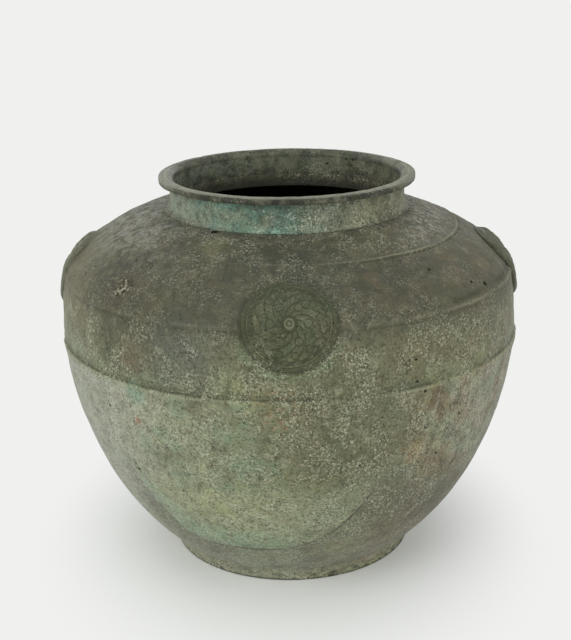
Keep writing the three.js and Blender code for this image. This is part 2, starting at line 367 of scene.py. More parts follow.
def small_holes(place, out, worn_and_shaded):
    """Sinks the pits and the ragged crater; the pits are marked black inside as painted shade, and the
    crater's sunken parts dark, as dirt and painted shade.
    """
    for middle, radius, depth in pit_places:
        away = (place - middle).length / radius
        if away < 1.3:
            out -= depth * smooth(1.1, 0.4, away)
            # Painted shade: black inside each pit.
            worn_and_shaded -= 2.4 * smooth(1.25, 0.85, away)
    away = (place - crater).length / crater_radius
    if away < 1.6:
        rough = lumps(place, 2.1, 51)
        out -= 0.9 * bump(away, 0, 0.7) + 1.4 * smooth(0.05, 0.35, rough) * smooth(1.1, 0.5, away)
        # The crater's sunken parts are darkened, as dirt and painted shade, and its high parts paled.
        worn_and_shaded -= 1.5 * smooth(0.1, 0.3, rough) * smooth(1.1, 0.5, away)
        worn_and_shaded += 1.2 * smooth(-0.2, -0.4, rough) * smooth(1.0, 0.5, away)
    return out, worn_and_shaded


def body_shape(place, normal):
    """Casting unevenness, raised lines, the roundels' seats, the old mould joint and small holes."""
    # The faces of the jar's hollow are marked for painted shade, inside the collar the more the lower they
    # lie.
    if place.xy.length < neck_root_radius - 0.5 and place.z > collar_from:
        return place, 0.0, smooth(287, 279, place.z)
    if normal.dot(place - JAR_MIDDLE) < 0:
        held = smooth(20, 30, place.z) * smooth(270, 260, place.z)
        return place + normal * 0.5 * lumps(place, 60) * held, 0.0, 1.0
    out = 0.55 * lumps(place, 70) + 0.32 * lumps(place, 24, 3) + 0.16 * lumps(place, 10, 7) - 0.35
    out -= 1.8 * bump((place - dent).length, 0, 17)
    if place.y < 0 and place.z < 125:
        out += 0.6 * smooth(-1.5, 1.5, above_patch_edge(place)) - 0.3
    line_out, worn_and_shaded = raised_lines(place)
    # The raised lines are worn unevenly.
    kept = min(max(0.85 + 0.9 * lumps(place, 30, 41) + 0.5 * lumps(place, 7, 43), 0.2), 1.0)
    line_out *= kept
    worn_and_shaded *= kept
    if roundels_low < place.z < roundels_high:
        out, line_out, worn_and_shaded = by_roundels(place, out, line_out, worn_and_shaded)
    out, worn_and_shaded = small_holes(place, out, worn_and_shaded)
    # Where it meets the neck and the foot, the wall keeps its true radius.
    if place.z > 200:
        held = smooth(neck_root_radius + 1, neck_root_radius + 8, place.xy.length)
    else:
        held = smooth(foot_seat, foot_seat + 4, place.z)
    azimuth = azimuth_of(place)
    out = (out + line_out) * held + sway(azimuth, place.z)
    crust = place.xy.normalized() * foot_crust(azimuth, place.z) if place.z < 60 else Vector((0, 0))
    return place + normal * out + crust.to_3d(), worn_and_shaded, 0.0


def stations(wide, close, reach, marks):
    """Steps up the wall's line, close together near the marks and wide apart elsewhere."""
    places = [0.0]
    while places[-1] < line_length:
        near = min(abs(places[-1] - mark) for mark in marks)
        places.append(places[-1] + (close if near < reach else wide))
    return places[:-1] + [line_length]


def make_body(material):
    """Floor, bowl, wall and shoulder in one shell, with its collar inside the neck."""
    collar_radius = neck_inner_radius + collar_thickness
    spigot_radius = foot_radius - foot_wall - seat_gap
    floor_under = foot_seat - floor_spigot
    outer = [on_wall(along) for along in stations(3.6, 0.55, 8, (belly_along, turn_along, thin_line_along))]
    inner = [on_wall(line_length * (1 - n / INNER_STEPS), -wall_thickness) for n in range(1, INNER_STEPS + 1)]
    collar = [(collar_radius, neck_root_height), (collar_radius, neck_root_height + collar_height),
              (neck_inner_radius, neck_root_height + collar_height),
              (neck_inner_radius, neck_root_height - wall_thickness)]
    floor_top = floor_under + floor_thickness
    profile = [(0, floor_under), (spigot_radius, floor_under), (spigot_radius, foot_seat)] + outer
    profile += collar + inner + [(spigot_radius - floor_thickness, floor_top), (0, floor_top)]
    body = turned("jar_body", fine(profile, 9.0), SPIN_STEPS)

    def by_roundel(place, normal):
        return (roundels_low < place.z < roundels_high and normal.dot(place - JAR_MIDDLE) > 0
                and abs(from_roundel(place) - roundel_radius) < 4)

    def by_pit(place, normal):
        return normal.dot(place - JAR_MIDDLE) > 0 and (
            (place - crater).length < crater_radius + 3
            or any((place - middle).length < radius + 2.5 for middle, radius, _ in pit_places))

    refine(body, by_roundel, 2)
    refine(body, by_pit, 4)
    reshape(body, body_shape)
    finish_piece(body, "body", material)


# Neck, lip and foot

rim_nick = Vector((90.4, 31.3, lip_top))
# Small holes inside the neck, at the back: azimuth in degrees, height and radius.
neck_holes = [(Vector((neck_inner_radius * math.sin(math.radians(azimuth)),
                       -neck_inner_radius * math.cos(math.radians(azimuth)), height)), radius)
              for azimuth, height, radius in ((157.2, 296, 1.3), (145.6, 301.2, 1.1), (141.1, 301.2, 1.2))]


def neck_shape(place, normal):
    """Unevenness of the neck, an edge eaten back here and there, one nick and three small holes."""
    radius = place.xy.length
    hollow = smooth(neck_inner_radius + 1.4, neck_inner_radius + 0.4, radius)
    worn_and_shaded = 0.0
    out = 0.4 * lumps(place, 34, 11) + 0.2 * lumps(place, 10, 13)
    out *= 1 - hollow * smooth(293, 288, place.z)
    if place.z > lip_top - lip_thickness - 1 and radius > neck_inner_radius + 0.6:
        eaten = max(0.0, lumps(place, 8, 17)) + max(0.0, lumps(place, 30, 19))
        out = -0.35 * eaten * (1 + smooth(lip_top - 3, lip_top - 5, place.z)) - 0.05
        out -= 1.8 * bump((place - rim_nick).length, 0, 2.4)
        # The crest is paled, as wear and painted highlight, and the nick darkened as painted shade.
        worn_and_shaded = 0.9 * bump(radius, crest_radius, 0.8) * smooth(lip_top - 2, lip_top - 1, place.z)
        worn_and_shaded -= 2 * bump((place - rim_nick).length, 0, 2.4)
        # Painted shade under the lip.
        worn_and_shaded -= 0.6 * smooth(lip_top - lip_thickness + 1, lip_top - lip_thickness, place.z)
    elif hollow < 0.5 and place.z < 292:
        # The root flares less on the right.
        right = max(0.0, math.sin(azimuth_of(place)))
        out -= right * max(0.0, radius - neck_outer_radius - 0.4) * 0.7
    for middle, size in neck_holes:
        away = (place - middle).length / size
        if away < 1.3 and hollow > 0.5:
            out -= 1.2 * smooth(1.1, 0.4, away)
            # Painted shade inside the holes.
            worn_and_shaded -= 1.5 * smooth(1.15, 0.7, away)
    out *= smooth(neck_root_height, neck_root_height + 5, place.z)
    return place + normal * out, worn_and_shaded, hollow


def make_neck(material):
    """Low neck with a small root fillet and a turned-out lip, worn round on top."""
    under = lip_top - lip_thickness
    rebate_radius = neck_inner_radius + collar_thickness + seat_gap
    rebate_top = neck_root_height + collar_height
    foot = neck_root_height + seat_gap
    root = cubic(((neck_root_radius + 3, foot), (neck_root_radius + 0.8, foot + 0.4),
                  (neck_outer_radius + 0.9, foot + 3), (neck_outer_radius + 0.5, foot + 9)), 12)
    cove = cubic(((neck_outer_radius, under - 3), (neck_outer_radius, under - 0.8),
                  (neck_outer_radius + 0.8, under), (neck_outer_radius + 3, under)), 8)
    edge = [(lip_radius - 0.6, under), (lip_radius - 0.1, under + 0.3), (lip_radius, under + 0.9)]
    edge += cubic(((lip_radius, lip_top - 1.3), (lip_radius - 0.1, lip_top - 0.55),
                   (crest_radius + 3, lip_top - 0.3), (crest_radius, lip_top)), 10)
    mouth = cubic(((crest_radius - 0.3, lip_top), (mouth_radius + 1.5, lip_top - 0.2),
                   (neck_inner_radius + 0.4, lip_top - 1.8), (neck_inner_radius, lip_top - 4.6)), 12)
    profile = [(rebate_radius, foot)] + root + cove + edge + mouth
    profile += [(neck_inner_radius, rebate_top), (rebate_radius, rebate_top), (rebate_radius, foot)]
    neck = turned("neck_and_turned_lip", fine(profile, 0.8), SPIN_STEPS)

    def by_hole(place, normal):
        return any((place - middle).length < size + 1.5 for middle, size in neck_holes)

    refine(neck, by_hole, 3)
    reshape(neck, neck_shape)
    finish_piece(neck, "neck_and_lip", material)


def foot_shape(place, normal):
    """The foot's uneven outside, broken back along its lower edge on the right, and darkened along the floor
    as painted shade.
    """
    azimuth = math.degrees(azimuth_of(place))
    broken = smooth(5, 14, azimuth) * smooth(80, 66, azimuth) * smooth(7.0, 4.5, place.z)
    out = 0.3 * lumps(place, 30, 23) + 0.25 * lumps(place, 7, 29) - 0.35
    out -= broken * (0.9 + 0.6 * max(0.0, lumps(place, 6, 31)))
    out *= smooth(0.3, 1.5, place.z) * smooth(foot_seat, foot_seat - 1, place.z)
    out += foot_crust(math.radians(azimuth), place.z) * smooth(0.3, 1.5, place.z)
    outside = normal.xy.dot(place.xy) > 0 and place.xy.length > foot_radius - 2
    # Painted shade along the floor, and darker patches on the broken edge.
    worn_and_shaded = -0.8 * smooth(1.6, 0.4, place.z) - broken * smooth(0.0, 0.3, lumps(place, 5, 33))
    return (place + normal * out if outside else place), worn_and_shaded, 0.0


def make_foot(material):
    """Low foot ring with a worn lower edge."""
    inner = foot_radius - foot_wall
    # The crust bridges the joint under the bowl, so the ring reaches up to the seat.
    profile = [(inner, 0), (foot_radius - 1.4, 0), (foot_radius - 0.4, 0.4), (foot_radius, 1.4),
               (foot_top_radius, foot_seat), (inner, foot_seat), (inner, 0)]
    foot = turned("foot_ring_worn", fine(profile, 0.7), SPIN_STEPS)
    reshape(foot, foot_shape)
    finish_piece(foot, "foot_ring", material)


# Roundels: a border of rings, a ring-and-dot boss in the middle and circles of smaller ones.
# Each circle: how many bosses, its radius, the bosses' radius and rise, and where it starts in degrees.
boss_circles = ((1, 0.0, 3.9, 1.2, 0.0), (6, 12.8, 2.4, 1.0, 0.0), (12, 21.0, 2.1, 0.8, 10.0),
                (18, 26.0, 1.6, 0.5, 3.0))
# Each ring: its radius, its half width and its rise.
border_rings = ((28.4, 0.5, 0.5), (30.2, 0.5, 0.5))
# How far each roundel's face stands out further at its top edge, below that, across its middle and near
# its foot.
roundel_swells = {"front": (0.0, 0.0, 0.4, 0.6), "right": (-1.3, 2.0, -0.6, 0.9),
                  "back": (0.0, 0.3, 0.4, 0.4), "left": (-1.6, 0.5, -1.2, 0.2)}


def roundel_relief(x, y):
    """Height of a roundel's relief over its plain face, between 0 and about 1.6."""
    radius = math.hypot(x, y)
    angle = math.atan2(y, x)
    height = 0.0
    near = roundel_radius
    for count, circle, size, rise, start in boss_circles:
        for index in range(count):
            turn = math.radians(start) + math.tau * index / count
            distance = math.hypot(x - circle * math.cos(turn), y - circle * math.sin(turn))
            near = min(near, distance - size)
            height += rise * (0.9 * bump(distance, size * 0.74, size * 0.2) + bump(distance, 0, size * 0.34))
    # Coils fill the field between the bosses, cut through by short strokes.
    coil = math.cos(6 * angle + 0.42 * radius) * smooth(5.2, 6.5, radius) * smooth(25.4, 24.2, radius)
    strokes = 0.5 + 0.5 * math.cos(40 * angle)
    height += 0.6 * smooth(0.3, 1.2, near) * smooth(0.1, 0.5, abs(coil)) * (0.6 + 0.4 * strokes)
    for ring_radius, width, rise in border_rings:
        height += rise * math.exp(-((radius - ring_radius) / width) ** 4)
    return height


def on_roundel(turn, x, y, out):
    """A roundel's own place, laid over the curve of the shoulder."""
    along = roundel_along + y
    base_radius, base_height = on_wall(along)
    azimuth = turn + x / base_radius
    radius, height = on_wall(along, out + sway(azimuth, base_height))
    return Vector((radius * math.sin(azimuth), -radius * math.cos(azimuth), height))


def make_roundel(name, node, turn, swells, seed, material):
    """One cast medallion, worn, laid over the shoulder."""
    back = -seat_depth
    edge_rise = roundel_edge_rise - 0.1
    edge = cubic(((roundel_radius - 0.1, back), (roundel_radius + 0.15, edge_rise * 0.6),
                  (roundel_radius - 0.7, edge_rise - 0.1), (roundel_radius - 2.8, edge_rise)), 12)
    piece = turned(name, fine([(0, back)] + edge + [(0, edge_rise)], 0.34), ROUNDEL_SPIN_STEPS)
    top_edge, upper, middle, lower = swells

    def lay(place, normal):
        radius = place.xy.length
        face = smooth(back, edge_rise, place.z)
        top = place.z > edge_rise - 0.01
        relief = roundel_relief(place.x, place.y) * (0.75 + 0.3 * lumps(place, 13, seed)) if top else 0.0
        dome = 0.4 * (roundel_rise - roundel_edge_rise) * (1 - (radius / roundel_radius) ** 2)
        dome += top_edge * smooth(18, 30, place.y) + upper * bump(place.y, 14, 9)
        dome += middle * bump(place.y, 3, 10) + lower * bump(place.y, -20, 10)
        out = place.z + face * dome + relief
        out += face * (0.25 * lumps(place, 16, seed + 7) + 0.12 * lumps(place, 5, seed + 5))
        # The relief's high points are paled and the field and the roundel's side darkened: wear and dirt,
        # with painted highlight and shade.
        worn_and_shaded = 0.6 * smooth(0.25, 0.8, relief) - smooth(0.3, 0.0, relief) if top else 0.5 * face - 0.9
        return on_roundel(turn, place.x, place.y, out), worn_and_shaded, 0.0

    reshape(piece, lay)
    finish_piece(piece, node, material)


# Materials

# Colours of a long-buried leaded bronze, as the eye names them.
BOWL_OLIVE = "#8a8f67"
BOWL_GREEN = "#869374"
WALL_OLIVE = "#696b51"
SHOULDER_BROWN = "#444337"
PALE_OLIVE = "#a8ac95"
BROWN_GREY = "#8a7b58"
CRUST_GREY = "#7d785f"
PALE_GRAIN = "#cfd0b6"
BRIGHT_GRAIN = "#dedfcc"
DARK_PIT = "#30311c"
YELLOW_GREEN = "#a8af8a"
EARTH = "#8d7450"
RUST = "#9c5d3c"
SOOT_AND_SHADE = "#24261e"
CREVICE = "#3b3d29"
PALE_WEAR_AND_HIGHLIGHT = "#a3a488"
HOLE_BLACK = "#0c0d09"
SOLDER_GREY = "#8b8c8a"

# Real sizes of the crust's finer parts.
grit_size = 1.7
grain_size = 1.5
pinhole_spacing = 4.2
crust_relief = 0.4


def linear(hex_colour):
    """An sRGB hex colour as the linear colour that shaders take."""
    parts = [int(hex_colour[i:i + 2], 16) / 255 for i in (1, 3, 5)]
    return tuple(p / 12.92 if p <= 0.04045 else ((p + 0.055) / 1.055) ** 2.4 for p in parts) + (1.0,)


def add(tree, kind, inputs=None, **settings):
    """Adds a shader node, sets it, and gives its inputs values or links. A node given as a value is linked by
    its first output."""
    node = tree.nodes.new("ShaderNode" + kind)
    for name, value in settings.items():
        setattr(node, name, value)
    for name, value in (inputs or {}).items():
        if isinstance(value, bpy.types.Node):
            value = value.outputs[0]
        if isinstance(value, bpy.types.NodeSocket):
            tree.links.new(value, node.inputs[name])
        else:
            node.inputs[name].default_value = value
    return node


def new_material(name):
    """An empty material, its node tree and the socket of its object coordinates."""
    material = bpy.data.materials.new(name)
    material.use_nodes = True
    tree = material.node_tree
    tree.nodes.clear()
    return material, tree, add(tree, "TexCoord").outputs["Object"]


def blotches(place, size, low, high, shift=0, detail=3, rough=0.55, squash=1):
    """Soft-edged patches about size mm across: 0 where the noise is below low, 1 above high. The shift
    keeps two patterns from lying alike."""
    tree = place.id_data
    moved = add(tree, "Mapping", {"Vector": place, "Location": (shift, shift * 0.7, -shift),
                                  "Scale": (1, 1, squash)})
    clouds = add(tree, "TexNoise", {"Vector": moved, "Scale": 1 / (size * MM), "Detail": detail,
                                    "Roughness": rough})
    return fade(clouds, low, high, unit=1)


def grains(place, spacing, radius, share):
    """Small round grains: spacing mm apart, radius as a share of that, and only a share of them kept."""
    tree = place.id_data
    cells = add(tree, "TexVoronoi", {"Vector": place, "Scale": 1 / (spacing * MM)})
    shape = add(tree, "MapRange", {"Value": cells, "From Min": radius, "From Max": radius * 0.45})
    pick = add(tree, "SeparateColor", {"Color": cells.outputs["Color"]})
    kept = add(tree, "Math", {0: pick, 1: share}, operation="LESS_THAN")
    return product(shape, kept)


def product(*masks):
    """Masks multiplied together."""
    result = masks[0]
    for mask in masks[1:]:
        result = add(result.id_data, "Math", {0: result, 1: mask}, operation="MULTIPLY")
    return result


def spot(place, centre, radius, soft):
    """A round mask about a place on the jar, with a rim that fades over a share of its radius."""
    away = add(place.id_data, "VectorMath", {0: place, 1: tuple(centre * MM)}, operation="DISTANCE")
    return fade(away.outputs["Value"], radius, radius * (1 - soft))


def wall_spot(place, azimuth, height, radius, soft=0.8):
    """A round mask about a place on the outer wall."""
    return spot(place, wall_place(azimuth, height), radius, soft)


def fade(value, start, end, unit=MM):
    """0 at start and 1 at end of a value, by default a length in mm, evenly smoothed."""
    return add(value.id_data, "MapRange", {"Value": value, "From Min": start * unit, "From Max": end * unit},
               interpolation_type="SMOOTHSTEP")


def stripe(value, middle, half_width):
    """A soft band of a length in mm about its middle."""
    return product(fade(value, middle - half_width, middle), fade(value, middle + half_width, middle))


def over(colour, mask, stain, strength=1.0):
    """A colour laid over another where the mask is, at a given strength."""
    share = mask if strength == 1.0 else product(mask, strength)
    return add(mask.id_data, "Mix", {"Factor": share, "A": colour, "B": linear(stain)},
               data_type="RGBA").outputs["Result"]


def corroded_bronze(name, tones, stains, hollow_shade, grain_share=0.5, rub_and_highlight=0.6, clusters=(), grittiness=1.0):
    """Cast leaded bronze, long buried: a dull mineral crust with pale grains and dark pits.
    The tones are the crust's own, its broad change and its mottling. Over them lie stains(place, x, y, z),
    rows of a colour, its strength and the masks that bound it, where a tuple stands for a wall_spot's
    azimuth, height, radius and softness. The next argument is the colour and strength of the painted shade
    that darkens the jar's hollow side. Clusters are the middles and radii of patches thick with pale grains."""
    material, tree, place = new_material(name)
    x, y, z = add(tree, "SeparateXYZ", {"Vector": place}).outputs
    wear_and_shading, hollow = (add(tree, "Attribute", attribute_name=mark).outputs["Fac"]
                    for mark in ("wear_and_shading", "hollow_side"))

    # Broad tone a hand wide, mottling a finger wide, then the piece's own stains.
    own, broad, mottling = tones
    mottle = blotches(place, 12, 0.4, 0.66, 0.9, detail=5)
    colour = over(linear(own), blotches(place, 60, 0.36, 0.64, 0.3), broad)
    for stain, strength, *masks in stains(place, x, y, z):
        masks = [wall_spot(place, *mask) if isinstance(mask, tuple) else mask for mask in masks]
        colour = over(colour, product(*masks), stain, strength)
    colour = over(colour, mottle, mottling, 0.3)
    wisps = blotches(place, 7, 0.52, 0.66, 3.1, detail=6, rough=0.7, squash=2.2)
    colour = over(colour, wisps, CREVICE, 0.36)

    # The smooth shoulder between the raised lines, the lip and the left of the neck are less gritty.
    calm = product(fade(z, 212, 238), fade(z, 280, 262))
    for other in (fade(z, lip_top - 7, lip_top - 5), product(fade(x, 10, -25), fade(z, 280, 283), 0.4)):
        calm = add(tree, "Math", {0: calm, 1: other}, operation="MAXIMUM")
    gritty, open_air = (
        add(tree, "MapRange", {"Value": value, "To Min": outer, "To Max": inner})
        for value, outer, inner in ((calm, grittiness, 0.4 * grittiness), (hollow, 1.0, 0.5)))
    gritty = product(gritty, open_air)

    # Darker and lighter crust a few millimetres across, and streaks that run down.
    dark = blotches(place, 9, 0.52, 0.66, 21, detail=6, rough=0.65)
    colour = over(colour, dark, CREVICE, 0.42)
    pale = blotches(place, 8, 0.54, 0.68, 23, detail=6, rough=0.65)
    colour = over(colour, product(pale, gritty), PALE_WEAR_AND_HIGHLIGHT, 0.45)
    streaks = blotches(place, 5, 0.56, 0.7, 27, detail=4, squash=0.25)
    colour = over(colour, product(streaks, fade(z, 238, 215)), CREVICE, 0.25)

    # Crevices darken as dirt and painted shade, edges pale as wear and painted highlight, and holes go black
    # as painted shade.
    crevice, rubbed_and_lit, hole = (
        add(tree, "MapRange", {"Value": wear_and_shading, "From Min": low, "From Max": high})
        for low, high in ((0.0, -1.0), (0.0, 1.0), (-1.3, -1.8)))
    colour = over(colour, crevice, CREVICE, 0.8)
    colour = over(colour, rubbed_and_lit, PALE_WEAR_AND_HIGHLIGHT, rub_and_highlight)

    # Grit: shading of the crust under 2 mm, pale grains in drifts, and dark pits.
    drift = blotches(place, 22, 0.43, 0.57, 1.7, detail=6, rough=0.62)
    grainy = add(tree, "MapRange", {"Value": drift, "To Min": 0.12, "To Max": 1.0})
    for middle, radius in clusters:
        grainy = add(tree, "Math", {0: grainy, 1: spot(place, middle, radius, 0.9)}, operation="MAXIMUM")
    grainy = product(grainy, gritty)
    grit, sparkle = (
        add(tree, "TexNoise", {"Vector": place, "Scale": 1 / (size * MM), "Detail": detail,
                               "Roughness": rough})
        for size, detail, rough in ((grit_size, 5.0, 0.8), (grain_size, 3.0, 0.75)))
    more = 0.08 * grain_share
    light_grit, dark_grit, beads, flecks = (
        add(tree, "MapRange", {"Value": value, "From Min": low, "From Max": high})
        for value, low, high in ((grit, 0.52, 0.64), (grit, 0.49, 0.36), (sparkle, 0.65 - more, 0.69 - more),
                                 (sparkle, 0.37, 0.32)))
    beads = product(beads, grainy)
    pinholes = grains(place, pinhole_spacing, 0.2, 0.35)
    colour = over(colour, product(light_grit, grainy), PALE_GRAIN, 0.7)
    colour = over(colour, product(dark_grit, gritty), DARK_PIT, 0.85)
    colour = over(colour, beads, BRIGHT_GRAIN, 0.9)
    colour = over(colour, product(flecks, gritty), SOOT_AND_SHADE, 0.75)
    colour = over(colour, pinholes, SOOT_AND_SHADE, 0.7)
    colour = over(colour, hole, HOLE_BLACK)
    # Painted shade on the jar's hollow side.
    colour = over(colour, hollow, *hollow_shade)

    # Its fine relief: soft lumps, with grit, grains and pinholes on them.
    rough = add(tree, "MapRange", {"Value": mottle, "To Min": 0.55, "To Max": 0.75})
    low_relief = blotches(place, 5, 0.3, 0.7, 2.3)
    gentle = add(tree, "Bump", {"Height": low_relief, "Strength": 0.8, "Distance": crust_relief * MM})
    rise = add(tree, "Math", {0: grit, 1: product(beads, 0.4)}, operation="ADD")
    rise = add(tree, "Math", {0: rise, 1: pinholes}, operation="SUBTRACT")
    sharp = add(tree, "Bump", {"Height": rise, "Strength": 0.9, "Distance": crust_relief * MM,
                               "Normal": gentle})

    # A dusty bloom pales the crust where it turns away, less so on the shoulder and in holes.
    bloom = add(tree, "MapRange", {"Value": fade(z, 205, 245), "To Min": 0.22, "To Max": 0.08})
    clear = add(tree, "Math", {0: 1.0, 1: hole}, operation="SUBTRACT")
    surface = add(tree, "BsdfPrincipled", {
        "Base Color": colour, "Roughness": rough, "Metallic": 0.12, "Sheen Weight": product(bloom, clear),
        "Sheen Roughness": 0.35, "Specular IOR Level": 0.3, "Normal": sharp})
    add(tree, "OutputMaterial", {"Surface": surface})
    return material


def wall_tones(place, x, z):
    """Olive on the wall, uneven above the ledge, darker and browner on the shoulder, and pale high on both
    sides, partly pale grains and partly painted highlight.
    """
    uneven = product(blotches(place, 24, 0.3, 0.7, 15, detail=5), 30 * MM)
    height = add(place.id_data, "Math", {0: z, 1: uneven}, operation="SUBTRACT")
    band = fade(height, 158, 200)
    return (
        (WALL_OLIVE, 1.0, band),
        (SHOULDER_BROWN, 0.9, fade(z, 216, 238), blotches(place, 50, 0.2, 0.5, 7.7)),
        ("#565241", 0.6, fade(z, 212, 240), fade(x, 60, 120)),
        ("#505441", 0.45, band, blotches(place, 26, 0.5, 0.62, 11)),
        ("#766850", 0.4, band, blotches(place, 17, 0.52, 0.64, 12.5, detail=5), fade(x, -40, 60)),
        # Pale patch high on the left shoulder: pale grains and a painted highlight.
        ("#9b9c90", 0.65, fade(x, -60, -110), fade(z, 250, 270), blotches(place, 7, 0.4, 0.56)),
        ("#98906f", 0.35, fade(x, -128, -168), band),
        ("#686e66", 0.5, (-26, 206, 46)),
        ("#545a52", 0.5, (-24, 219, 20)),
        # Pale patch high on the right shoulder: pale grains and a painted highlight.
        ("#9f9e92", 0.65, fade(x, 70, 100), fade(z, 262, 276), blotches(place, 6, 0.42, 0.6)),
        ("#3a3e34", 0.82, (0, 260, 68)),
        ("#454434", 0.5, (-40, 252, 70, 0.7)),
        ("#807854", 0.4, fade(x, 20, 80), fade(z, 226, 206), band),
    )


def bowl_tones(place, x, z, front, bowl):
    """Pale on the left of the bowl, brown and streaked on the right, and green in patches."""
    right = product(bowl, fade(x, 60, 95), fade(z, 60, 90), front)
    return (
        (PALE_OLIVE, 0.85, bowl, fade(x, -20, -130)),
        (BROWN_GREY, 0.8, bowl, fade(x, 40, 100)),
        # Pale toward the bowl's right edge: painted reflection of the pale surroundings.
        ("#a19d8c", 0.75, bowl, fade(x, 95, 150), fade(z, 70, 115)),
        ("#5d4632", 0.7, right, blotches(place, 6, 0.48, 0.58, 29, detail=5, squash=0.3)),
        ("#b3ac9a", 0.55, right, blotches(place, 7, 0.5, 0.62, 31, detail=5, squash=0.3)),
        ("#7f9c80", 0.45, bowl, blotches(place, 26, 0.45, 0.62, 4)),
        ("#6c6446", 0.42, bowl, blotches(place, 18, 0.52, 0.64, 37, detail=5)),
        ("#abb189", 0.42, bowl, blotches(place, 15, 0.54, 0.66, 39, detail=5)),
        ("#66674d", 0.85, (13, 158, 88, 0.75)),
        ("#66664f", 0.6, (24, 92, 50)),
        ("#a2a58c", 0.45, fade(z, 62, 28), fade(x, 40, 0), front),
    )


def joint_tones(place, x, z, front):
    """Yellow-green inside the U-shaped mould joint, browner outside it, and soot along its edge."""
    tree = place.id_data
    across = add(tree, "Math", {0: x, 1: patch_middle * MM}, operation="SUBTRACT")
    left_arm = add(tree, "Math", {0: across, 1: 0.0}, operation="LESS_THAN")
    rise = add(tree, "MapRange", {"Value": left_arm, "To Min": patch_right_rise / MM ** 2,
                                  "To Max": patch_left_rise / MM ** 2})
    span = add(tree, "Math", {0: across}, operation="ABSOLUTE")
    cube = add(tree, "Math", {0: span, 1: 3.0}, operation="POWER")
    above = add(tree, "Math", {0: z, 1: patch_low * MM}, operation="SUBTRACT")
    above = add(tree, "Math", {0: above, 1: product(cube, rise)}, operation="SUBTRACT")
    low_front = product(front, fade(z, 118, 96))
    return (
        (YELLOW_GREEN, 0.8, fade(above, -2, 12), low_front),
        ("#77836a", 0.55, fade(above, -2, 12), low_front, fade(x, -15, 30)),
        ("#6d6d5a", 0.65, fade(above, 2, -4), low_front, fade(x, -30, 10),
         blotches(place, 32, 0.3, 0.52, 13)),
        ("#84a88a", 0.6, fade(above, -1, 4), fade(above, 30, 10), low_front,
         blotches(place, 18, 0.3, 0.5, 4, detail=5), fade(x, 20, -30)),
        ("#5b5c49", 0.6, fade(above, 3, -3), fade(above, -42, -12), low_front, fade(x, -25, -60)),
        (SOOT_AND_SHADE, 0.85, stripe(above, 0, 2.2), low_front, blotches(place, 14, 0.3, 0.45, 5)),
    )


def body_marks(place, x, z, front, bowl):
    """Single spots and flecks, where the photograph shows them."""
    from_front_roundel = add(place.id_data, "VectorMath", {0: place, 1: tuple(front_roundel * MM)},
                             operation="DISTANCE").outputs["Value"]
    return (
        (EARTH, 0.6, (-3, 176, 34, 0.9), blotches(place, 4, 0.5, 0.6)),
        ("#ab9468", 0.6, (31.5, 130.6, 17, 0.9), blotches(place, 5, 0.35, 0.6)),
        ("#3c3628", 0.6, (41.5, 139.5, 10, 0.7)),
        ("#544634", 0.5, (43, 163, 7, 0.7)),
        ("#585443", 0.5, (42, 105, 14)),
        ("#505239", 0.55, (-46, 199, 21)),
        ("#504e3b", 0.5, (57, 218, 34)),
        ("#524f3c", 0.75, fade(x, 60, 95), fade(z, 105, 70)),
        # Pale along the bowl's left edge: painted reflection of the pale surroundings.
        ("#b4b6a8", 0.5, bowl, fade(x, -85, -135), fade(z, 50, 90)),
        ("#3c3b31", 0.4, (-45, 258, 50, 0.9)),
        ("#3c3a2f", 0.4, (36, 262, 42, 0.9)),
        ("#7b7053", 0.45, fade(z, 75, 40), fade(x, 0, 50), front),
        ("#7aa68c", 0.55, (-37.5, 178, 14)),
        ("#a9ae7c", 0.5, (-17, 95, 38, 0.9), blotches(place, 11, 0.4, 0.6)),
        (RUST, 0.45, bowl, blotches(place, 2.4, 0.64, 0.7, 45, detail=2)),
        ("#a59d8c", 0.55, (52, 150, 26)),
        (RUST, 0.7, (-38, 155.3, 5)),
        ("#7f6f5b", 0.5, (-38.6, 204.3, 20, 0.9)),
        (CREVICE, 0.7, (-45.7, 200.5, 3)),
        (CREVICE, 0.9, (-46.7, 204.5, 3.4)),
        (CREVICE, 0.8, (-46.9, 209.5, 3.2)),
        ("#4b4034", 0.6, spot(place, crater, 26, 0.9)),
        (RUST, 0.2, spot(place, crater, 9, 0.6), blotches(place, 2, 0.5, 0.6, 8)),
        (PALE_GRAIN, 0.7, spot(place, crater, 8, 0.6), blotches(place, 2.4, 0.55, 0.62, 9.5)),
        ("#878b60", 0.4, (-26.4, 275.4, 17)),
        ("#6c8760", 0.45, stripe(from_front_roundel, roundel_radius + 4, 6), fade(z, 232, 216)),
    )


def body_stains(place, x, y, z):
    """Browner on the shoulder, greener low in front, with the marks that the front shows."""
    front = fade(y, 0, -40)
    bowl = fade(z, 186, 178)
    return (wall_tones(place, x, z) + bowl_tones(place, x, z, front, bowl) + joint_tones(place, x, z, front)
            + body_marks(place, x, z, front, bowl))


